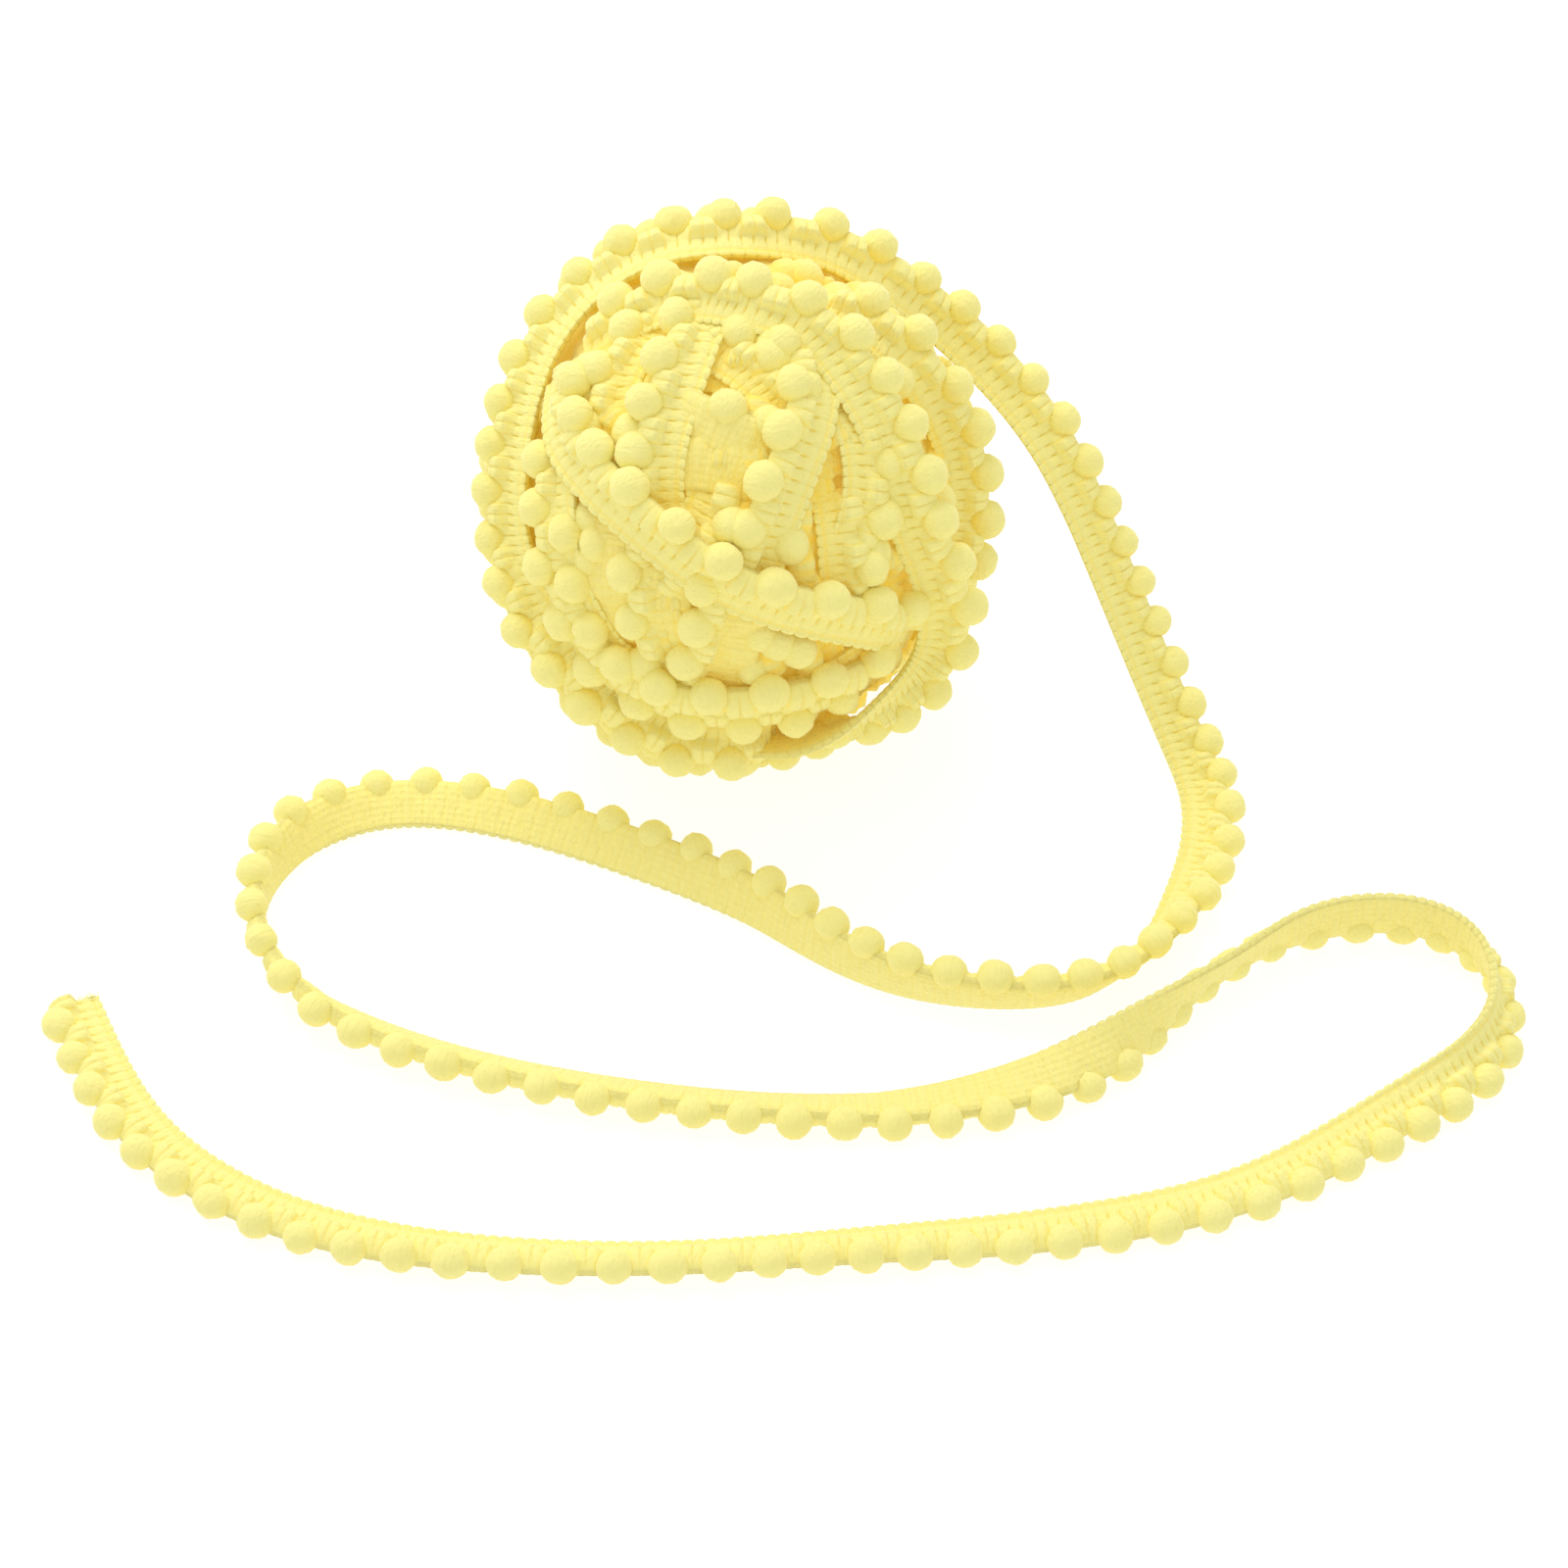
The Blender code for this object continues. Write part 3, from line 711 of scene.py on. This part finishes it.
def add_braid(pieces, at, frames, pitch, fullness, behind=0.1):
    """A closed tube of sections with a cap at each end.

    fullness is the section's size to the tail's, behind is how much painted shade its reverse gets.
    """
    middle, ahead, across, face = frames
    out, up, deep = braid_section(at, behind)
    fullness = np.broadcast_to(fullness, at.shape)[:, None]
    columns = out.shape[1]
    wide = (out * fullness)[:, :, None]
    high = (up * fullness)[:, :, None]
    slant = (SLIT_SLANT * np.clip(out, -SLANT_REACH, SLANT_REACH) * (up > 0))[:, :, None]
    points = middle[:, None] + across[:, None] * wide + face[:, None] * high
    points = points + ahead[:, None] * slant
    along = np.repeat(at[:, None] * pitch, columns, 1)
    aside = out + REVERSE_MAP * (up < REVERSE_BELOW)
    maps = np.stack([along, aside], 2) * MM_TO_CM
    points, maps = [
        np.vstack([values.reshape(-1, values.shape[2]), values[[0, -1]].mean(axis=1)])
        for values in (points, maps)
    ]
    deep = np.append(deep.ravel(), [deep.mean()] * 2)
    cap_middle = len(at) * columns
    side = np.arange(columns)
    nxt = (side + 1) % columns
    last = (len(at) - 1) * columns
    caps = np.vstack([
        np.stack([nxt, side, np.full(columns, cap_middle)], 1),
        np.stack([last + side, last + nxt, np.full(columns, cap_middle + 1)], 1),
    ])
    faces = strip_faces(len(at), columns).tolist() + caps.tolist()
    pieces.add(points, faces, maps, deep)


print("sections of", len(FACE_OUT) + len(BACK_OUT), "points,", len(STATIONS), "to a rung")

# %% [markdown]
# ## The pompoms
# Each is a clipped ball of pile. A slightly uneven ball makes its body, and short fibres standing
# out of it make its soft outline. They are all turned and sized a little differently.

# %% One pompom's pattern
import bmesh

POMPOM_SUBDIVISIONS = 3
FIBRES = 220                # of each pompom
FIBRE_LENGTH = 0.34         # mm
FIBRE_WIDTH = 0.075
FIBRE_ROOT = 0.97           # of the pompom's radius, so that fibres start inside it
LUMPS = 0.022               # broad waves on a pompom, as a share of its radius
LUMP_WAVES = 3.1
ROUGHNESS = 0.018           # fine unevenness
POMPOM_STRETCH = 1.07       # along the trim
POMPOM_UNEVEN = 0.05        # how much their three sizes differ
UNDERSIDE = (-0.1, 0.9)     # where on a pompom the painted shade towards its seat begins and is full
UNDERSIDE_SHADE = 0.55


def ball_pattern(subdivisions):
    """Points and three-cornered faces of a ball of radius 1."""
    bm = bmesh.new()
    bmesh.ops.create_icosphere(bm, subdivisions=subdivisions, radius=1.0)
    points = np.array([vert.co[:] for vert in bm.verts])
    faces = np.array([[vert.index for vert in polygon.verts] for polygon in bm.faces])
    bm.free()
    return points, faces


BALL_POINTS, BALL_FACES = ball_pattern(POMPOM_SUBDIVISIONS)


def fibre_pattern(random):
    """Where the pile's fibres stand on a ball of radius 1, and which way each one leans."""
    roots = unit(random.normal(size=(FIBRES, 3)))
    lean = unit(np.cross(roots, random.normal(size=(FIBRES, 3))))
    return roots, lean


def add_pompom(body, pile, centre, turned, outward, radius, random):
    """turned is a 3 x 3 array whose rows are the pompom's own axes."""
    waves = BALL_POINTS @ random.normal(size=3) * LUMP_WAVES + random.uniform(0, 6)
    lumpy = 1 + LUMPS * np.sin(waves) + ROUGHNESS * random.normal(size=len(BALL_POINTS))
    size = radius * np.array((POMPOM_STRETCH, 1.0, 1.0))
    size = size * random.uniform(1 - POMPOM_UNEVEN, 1 + POMPOM_UNEVEN, size=3)
    points = (BALL_POINTS * lumpy[:, None] * size) @ turned + centre
    maps = BALL_POINTS[:, :2] * radius * MM_TO_CM + random.uniform(0, 9, size=2)
    # painted shade on the pompom's underside, towards its seat
    under = rise(-(points - centre) @ outward / radius, *UNDERSIDE)
    body.add(points, BALL_FACES, maps, UNDERSIDE_SHADE * under)
    if pile is None:
        return
    roots, lean = fibre_pattern(random)
    sideways = np.cross(roots, lean)
    length = FIBRE_LENGTH * random.uniform(0.5, 1.15, size=(FIBRES, 1))
    base = roots * size * FIBRE_ROOT
    first = base + sideways * FIBRE_WIDTH / 2
    second = base - sideways * FIBRE_WIDTH / 2
    tip = base + roots * length + lean * length * 0.5
    corners = np.stack([first, second, tip], 1).reshape(-1, 3) @ turned + centre
    faces = np.arange(3 * FIBRES).reshape(-1, 3)
    pile.add(corners, faces, np.zeros((3 * FIBRES, 2)), np.zeros(3 * FIBRES))


print("a pompom has", len(BALL_FACES), "faces and", FIBRES, "fibres")

# %% [markdown]
# ## Yarn and pile
# One group of nodes gives yarn and pile their colour: pale yellow, painted amber as shade in a
# crevice, with a painted glow there that stands in for the little light that seeps through. The
# other gives the height of the fine stitches, and of the small grid on the braid's reverse.

# %% Materials
YELLOW = (0.945, 0.870, 0.312, 1.0)
# painted shade: the amber of crevices, undersides, reverses and the ball's depths
SHADE_AMBER = (0.91, 0.68, 0.09, 1.0)
RIB_HEIGHT = 0.35           # of the reverse's grid, to the strands
REVERSE_FROM = 0.7          # the map's second value, from which it is the reverse
PAINTED_GLOW = 0.16              # painted glow, emitted in a crevice in place of light that comes through the yarn
SHEEN_TINT = (1.0, 0.97, 0.7, 1.0)
RELIEF = 0.0004             # m, of the strands


def new_group(name, inputs, outputs):
    """A group of shader nodes; inputs and outputs give each socket's name and kind."""
    group = bpy.data.node_groups.new(name, "ShaderNodeTree")
    for in_out, sockets in (("INPUT", inputs), ("OUTPUT", outputs)):
        for socket, kind in sockets:
            group.interface.new_socket(socket, in_out=in_out, socket_type="NodeSocket" + kind)
    start = group.nodes.new("NodeGroupInput")
    end = group.nodes.new("NodeGroupOutput")
    return group, group.nodes, group.links, start, end


def set_inputs(node, **values):
    """Sets sockets by name, with _ for a space."""
    for name, value in values.items():
        node.inputs[name.replace("_", " ")].default_value = value


def yarn_colour_group():
    """Yarn painted towards Shade in a crevice, in slow patches too, with a painted glow there."""
    group, nodes, links, start, end = new_group(
        "yarn_colour", (("Yarn", "Color"), ("Deep", "Color"), ("Crevice", "Float")),
        (("Colour", "Color"), ("Glow", "Color")),
    )
    place = nodes.new("ShaderNodeTexCoord")
    patches = nodes.new("ShaderNodeTexNoise")
    set_inputs(patches, Scale=60.0, Detail=2.0)
    links.new(place.outputs["Object"], patches.inputs["Vector"])
    level = nodes.new("ShaderNodeMapRange")
    set_inputs(level, From_Min=0.3, From_Max=0.7, To_Min=0.0, To_Max=0.07)
    links.new(patches.outputs["Fac"], level.inputs["Value"])
    total = nodes.new("ShaderNodeMath")
    total.operation = "ADD"
    total.use_clamp = True
    links.new(start.outputs["Crevice"], total.inputs[0])
    links.new(level.outputs["Result"], total.inputs[1])
    mix = nodes.new("ShaderNodeMix")
    mix.data_type = "RGBA"
    links.new(total.outputs["Value"], mix.inputs["Factor"])
    links.new(start.outputs["Yarn"], mix.inputs["A"])
    links.new(start.outputs["Deep"], mix.inputs["B"])
    links.new(mix.outputs["Result"], end.inputs["Colour"])
    glow = nodes.new("ShaderNodeMix")
    glow.data_type = "RGBA"
    glow.inputs["A"].default_value = (0, 0, 0, 1)
    links.new(total.outputs["Value"], glow.inputs["Factor"])
    links.new(start.outputs["Deep"], glow.inputs["B"])
    links.new(glow.outputs["Result"], end.inputs["Glow"])
    return group


def strands_group():
    """Height of the fine stitches, and of the small grid on the reverse."""
    group, nodes, links, start, end = new_group(
        "strands", (("Strands per cm", "Float"), ("Ribs per cm", "Float")), (("Height", "Float"),),
    )

    def calculated(operation, first, second=None):
        node = nodes.new("ShaderNodeMath")
        node.operation = operation
        for socket, value in zip(node.inputs, (first, second)):
            if isinstance(value, (int, float)):
                socket.default_value = value
            elif value is not None:
                links.new(value, socket)
        return node.outputs["Value"]

    place = nodes.new("ShaderNodeUVMap")
    place.uv_map = "along_across"
    scaled = nodes.new("ShaderNodeVectorMath")
    scaled.operation = "SCALE"
    links.new(place.outputs["UV"], scaled.inputs[0])
    links.new(start.outputs["Strands per cm"], scaled.inputs["Scale"])
    stretched = nodes.new("ShaderNodeMapping")
    stretched.inputs["Scale"].default_value = (1.0, 0.6, 1.0)
    links.new(scaled.outputs["Vector"], stretched.inputs["Vector"])
    stitches = nodes.new("ShaderNodeTexVoronoi")
    stitches.feature = "SMOOTH_F1"
    stitches.inputs["Scale"].default_value = 1.0
    links.new(stretched.outputs["Vector"], stitches.inputs["Vector"])
    parts = nodes.new("ShaderNodeSeparateXYZ")
    links.new(place.outputs["UV"], parts.inputs["Vector"])
    grid = 0
    for axis in ("X", "Y"):
        turns = calculated("MULTIPLY", parts.outputs[axis], start.outputs["Ribs per cm"])
        wave = calculated("SINE", calculated("MULTIPLY", turns, math.pi))
        grid = calculated("ADD", grid, calculated("ABSOLUTE", wave))
    behind = calculated("GREATER_THAN", parts.outputs["Y"], REVERSE_FROM)
    ribs = calculated("MULTIPLY", calculated("MULTIPLY", grid, behind), RIB_HEIGHT)
    total = calculated("SUBTRACT", ribs, stitches.outputs["Distance"])
    links.new(total, end.inputs["Height"])
    return group


def yarn_material(name, strands, ribs, bump, full_shade):
    """strands and ribs are per cm, bump is the relief's strength, full_shade the most painted
    shade.
    """
    material = bpy.data.materials.new(name)
    material.use_nodes = True
    nodes = material.node_tree.nodes
    links = material.node_tree.links
    shader = nodes["Principled BSDF"]
    set_inputs(
        shader, Roughness=0.92, Specular_IOR_Level=0.12, Sheen_Weight=0.4, Sheen_Roughness=0.5,
        Sheen_Tint=SHEEN_TINT, Emission_Strength=PAINTED_GLOW,
    )
    crevice = nodes.new("ShaderNodeAttribute")
    crevice.attribute_name = "crevice"
    strength = nodes.new("ShaderNodeMath")
    strength.operation = "MULTIPLY"
    strength.inputs[1].default_value = full_shade
    links.new(crevice.outputs["Fac"], strength.inputs[0])
    colour = nodes.new("ShaderNodeGroup")
    colour.node_tree = YARN_COLOUR
    set_inputs(colour, Yarn=YELLOW, Deep=SHADE_AMBER)
    links.new(strength.outputs["Value"], colour.inputs["Crevice"])
    links.new(colour.outputs["Colour"], shader.inputs["Base Color"])
    # painted glow: the painted shade's colour is emitted too
    links.new(colour.outputs["Glow"], shader.inputs["Emission Color"])
    height = nodes.new("ShaderNodeGroup")
    height.node_tree = STRANDS
    set_inputs(height, Strands_per_cm=strands, Ribs_per_cm=ribs)
    relief = nodes.new("ShaderNodeBump")
    set_inputs(relief, Strength=bump, Distance=RELIEF)
    links.new(height.outputs["Height"], relief.inputs["Height"])
    links.new(relief.outputs["Normal"], shader.inputs["Normal"])
    return material


YARN_COLOUR = yarn_colour_group()
STRANDS = strands_group()
braid_material = yarn_material("braid_yarn", strands=22.0, ribs=9.0, bump=0.5, full_shade=1.0)
pile_material = yarn_material("pompom_pile", strands=24.0, ribs=0.0, bump=0.45, full_shade=0.8)
core_material = yarn_material("inner_turns", strands=24.0, ribs=0.0, bump=0.5, full_shade=1.0)
print("materials", [m.name for m in (braid_material, pile_material, core_material)])

# %% [markdown]
# ## The loose tail
# The braid first, then its pompoms: the route is the same, so both follow every twist. Loose
# strands stand out where the trim was cut.

# %% The tail
SLACK_BY = 14               # the pompom by which the tail has its own width
FRAYED = 160                # loose strands at the cut end
FRAY_LENGTH = 2.4           # mm
FRAY_WIDTH = 0.16
FRAY_ROOT = 0.6             # mm inside the end
FRAY_LOWEST = 0.15          # mm above the floor
POMPOM_WOBBLE = 0.12        # mm, of a pompom's place
TAIL_POMPOM_RADIUS = POMPOM_RADIUS - 0.1

tail_at = stations(TAIL_START, TAIL_END)
tail_pieces = Pieces()
slackening = BALL_FULLNESS + (1 - BALL_FULLNESS) * rise(tail_at, TAIL_START, SLACK_BY)
add_braid(tail_pieces, tail_at, tail_frames(tail_at), TAIL_PITCH, slackening)
tail_braid = tail_pieces.build("tail_braid_yarn", braid_material)

random = np.random.default_rng(7)
tail_bodies = Pieces()
tail_fibres = Pieces()
middle, ahead, across, face = [value[0] for value in tail_frames(np.array([TAIL_END]))]
for strand in range(FRAYED):
    root = middle + across * random.uniform(-HALF_WIDTH, HALF_WIDTH) - ahead * FRAY_ROOT
    root = root + face * random.uniform(-0.5, 0.7)
    away = ahead + across * random.normal(scale=0.5) + face * random.normal(scale=0.25)
    tip = root + away * random.uniform(0.9, FRAY_LENGTH)
    tip[2] = max(tip[2], FRAY_LOWEST)
    width = across * FRAY_WIDTH / 2
    points = np.array([root - width, root + width, tip])
    tail_fibres.add(points, np.array([[0, 1, 2]]), np.zeros((3, 2)), np.zeros(3))


def add_pompom_row(bodies, fibres, frames, radius, out, up, ball_centre=None):
    """A pompom at each frame, painted shade on its underside, which faces the ball's centre or the
    floor.
    """
    middle, ahead, across, face = frames
    upright = np.array((0.0, 0.0, 1.0))
    for place in range(len(middle)):
        axes = np.stack([ahead[place], across[place], face[place]])
        wobble = random.normal(scale=POMPOM_WOBBLE, size=3)
        centre = middle[place] + across[place] * (out + wobble[0]) + face[place] * (up + wobble[1])
        size = radius * random.uniform(0.97, 1.03)
        outward = upright if ball_centre is None else unit((centre - ball_centre)[None])[0]
        add_pompom(bodies, fibres, centre, axes, outward, size, random)


tail_numbers = np.arange(FIRST_POMPOM, LAST_POMPOM + 1).astype(float)
add_pompom_row(
    tail_bodies, tail_fibres, tail_frames(tail_numbers), TAIL_POMPOM_RADIUS,
    HALF_WIDTH + POMPOM_OUT, POMPOM_UP,
)
tail_pompoms = tail_bodies.build("tail_pompom_bodies", pile_material)
tail_pile = tail_fibres.build("tail_pompom_fibres", pile_material, smooth=False)

# %% [markdown]
# ## The ball
# Only narrow gaps let the innermost turns show, deep down, so one core with their low bands,
# painted amber as shade, stands for them, and the turns lie on it. A pompom that a braid above it
# would press flat is left out. Points that would reach under the floor are pressed onto it, as
# soft pile is.

# %% The ball
CORE_SHARE = 0.88           # of the ball
CORE_RELIEF = 1.3           # mm, of the bands that the inner turns leave on it
CORE_BAND = 8.0             # mm wide
CORE_SUBDIVISIONS = 6
CORE_TURNED = ((0.8, 0.0, 0.6), (0.0, 1.0, 0.0), (-0.6, 0.0, 0.8))     # its bands lie aslant
CORE_SHADE = (0.85, 0.35)   # painted shade between the bands, and how much less on them
CORE_LOWEST = 0.2           # mm above the floor
END_MARGIN = 0.35           # no pompom is nearer than this to a turn's end, in pompoms
COVER_REACH = (-12.0, 1.5)  # mm: how far below and above a braid's middle it hides a pompom
FINE_REVERSE_SHADE, PLAIN_REVERSE_SHADE = 0.1, 0.4        # how much painted shade the reverses get


def add_turn(braid, bodies, fibres, turn, within, above, behind):
    """One turn; pompoms under the lines of the turns above it are left out."""
    side, rows = turn
    first = rows[0][0]
    last = rows[-1][0]
    at = stations(first, last, within)
    add_braid(braid, at, turn_frames(side, rows, at), BALL_PITCH, BALL_FULLNESS, behind)
    numbers = np.arange(math.ceil(first + END_MARGIN), math.floor(last - END_MARGIN) + 1.0)
    if above is not None:
        middle, ahead, across, face = turn_frames(side, rows, numbers)
        numbers = numbers[uncovered(middle + across * HALF_WIDTH, above)]
    add_pompom_row(
        bodies, fibres, turn_frames(side, rows, numbers), POMPOM_RADIUS * BALL_FULLNESS,
        (HALF_WIDTH + POMPOM_OUT) * BALL_FULLNESS, POMPOM_UP * BALL_FULLNESS, BALL_CENTRE,
    )


def middle_lines(turns):
    """Points and outward directions all along the middles of some turns."""
    points = []
    for side, rows in turns:
        at = np.arange(rows[0][0], rows[-1][0], NEAR)
        middle, ahead, across, face = turn_frames(side, rows, at)
        normal = unit((middle - BALL_CENTRE) / BALL_SEMI_AXES ** 2)
        points.append(np.hstack([middle, normal]))
    return np.vstack(points)


def uncovered(centres, lines):
    """Which pompoms don't lie under a braid of the turns above them."""
    away = centres[:, None] - lines[None, :, :3]
    height = np.sum(away * lines[None, :, 3:], axis=2)
    aside = np.linalg.norm(away - height[:, :, None] * lines[None, :, 3:], axis=2)
    near = (aside < HALF_WIDTH) & (height > COVER_REACH[0]) & (height < COVER_REACH[1])
    return ~np.any(near, axis=1)


ball_pieces = []
outer_lines = middle_lines(OUTER_TURNS)
all_lines = np.vstack([outer_lines, middle_lines(INNER_TURNS + SIDE_TURNS + CROSSING_TURNS)])
for name, turns, within, above, behind in (
    ("front", OUTER_TURNS, STATIONS, None, PLAIN_REVERSE_SHADE),
    ("inner", INNER_TURNS, STATIONS, outer_lines, FINE_REVERSE_SHADE),
    ("side", SIDE_TURNS + CROSSING_TURNS, PLAIN_STATIONS, outer_lines, PLAIN_REVERSE_SHADE),
    ("back", BACK_TURNS, PLAIN_STATIONS, all_lines, PLAIN_REVERSE_SHADE),
):
    braid = Pieces(sinks=True)
    bodies = Pieces(sinks=True)
    fibres = Pieces(sinks=True)
    for turn in turns:
        add_turn(braid, bodies, fibres, turn, within, above, behind)
        if name == "inner":
            above = np.vstack([above, middle_lines([turn])])
    ball_pieces.append(braid.build("ball_" + name + "_braid", braid_material))
    ball_pieces.append(bodies.build("ball_" + name + "_pompoms", pile_material))
    ball_pieces.append(fibres.build("ball_" + name + "_fibres", pile_material, smooth=False))

braid = Pieces(sinks=True)
bodies = Pieces(sinks=True)
for side, rows in UNDER_TURNS:
    lifted = [row + (UNDER_LIFT, 0) for row in rows]
    add_turn(braid, bodies, None, (side, lifted), DEEP_STATIONS, all_lines, FINE_REVERSE_SHADE)
for side, rows in DEEP_BRAIDS:
    lifted = [row + (DEEP_LIFT, 0) for row in rows]
    at = stations(rows[0][0], rows[-1][0], DEEP_STATIONS)
    add_braid(braid, at, turn_frames(side, lifted, at), BALL_PITCH, BALL_FULLNESS)
ball_pieces.append(braid.build("ball_under_braid", braid_material))
ball_pieces.append(bodies.build("ball_under_pompoms", pile_material))

core = Pieces()
core_points, core_faces = ball_pattern(CORE_SUBDIVISIONS)
x, y, z = core_points.T
polar = np.arccos(np.clip(z, -1, 1)) * BALL_SEMI_AXES.mean()
around = np.arctan2(y, x) * BALL_SEMI_AXES.mean()
band = np.abs(np.sin(polar / CORE_BAND * math.pi)) ** 0.5
core_maps = np.column_stack([around * np.hypot(x, y), polar]) * MM_TO_CM
core_points = core_points @ np.array(CORE_TURNED)
core_points = core_points * (BALL_SEMI_AXES * CORE_SHARE + CORE_RELIEF * band[:, None])
core_points = core_points + BALL_CENTRE
core_points[:, 2] = np.maximum(core_points[:, 2], CORE_LOWEST)
# painted shade on the core, less on its bands
core.add(core_points, core_faces, core_maps, CORE_SHADE[0] - CORE_SHADE[1] * band)
ball_core = core.build("ball_inner_turns", core_material)

# %% [markdown]
# ## Fastening to the frame
# Everything rides on the one body. The tail's braid leaves the ball at the right shoulder and ends
# bare, where it was cut; the points along its middle are worked out as a line.

# %% Fasten
CORD_POINTS = 340           # along the cord's middle

for slot, pieces in (
    ("braid", [tail_braid]),
    ("pompom_pile", [tail_pompoms, tail_pile]),
    ("wound_trim", [ball_core] + ball_pieces),
):
    for piece in pieces:
        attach(piece, "root")
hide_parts("tail_braid")
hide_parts("tail_pompoms")
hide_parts("wound_ball")

cord_path = tail_middle(np.linspace(TAIL_START, TAIL_END, CORD_POINTS)) * MM
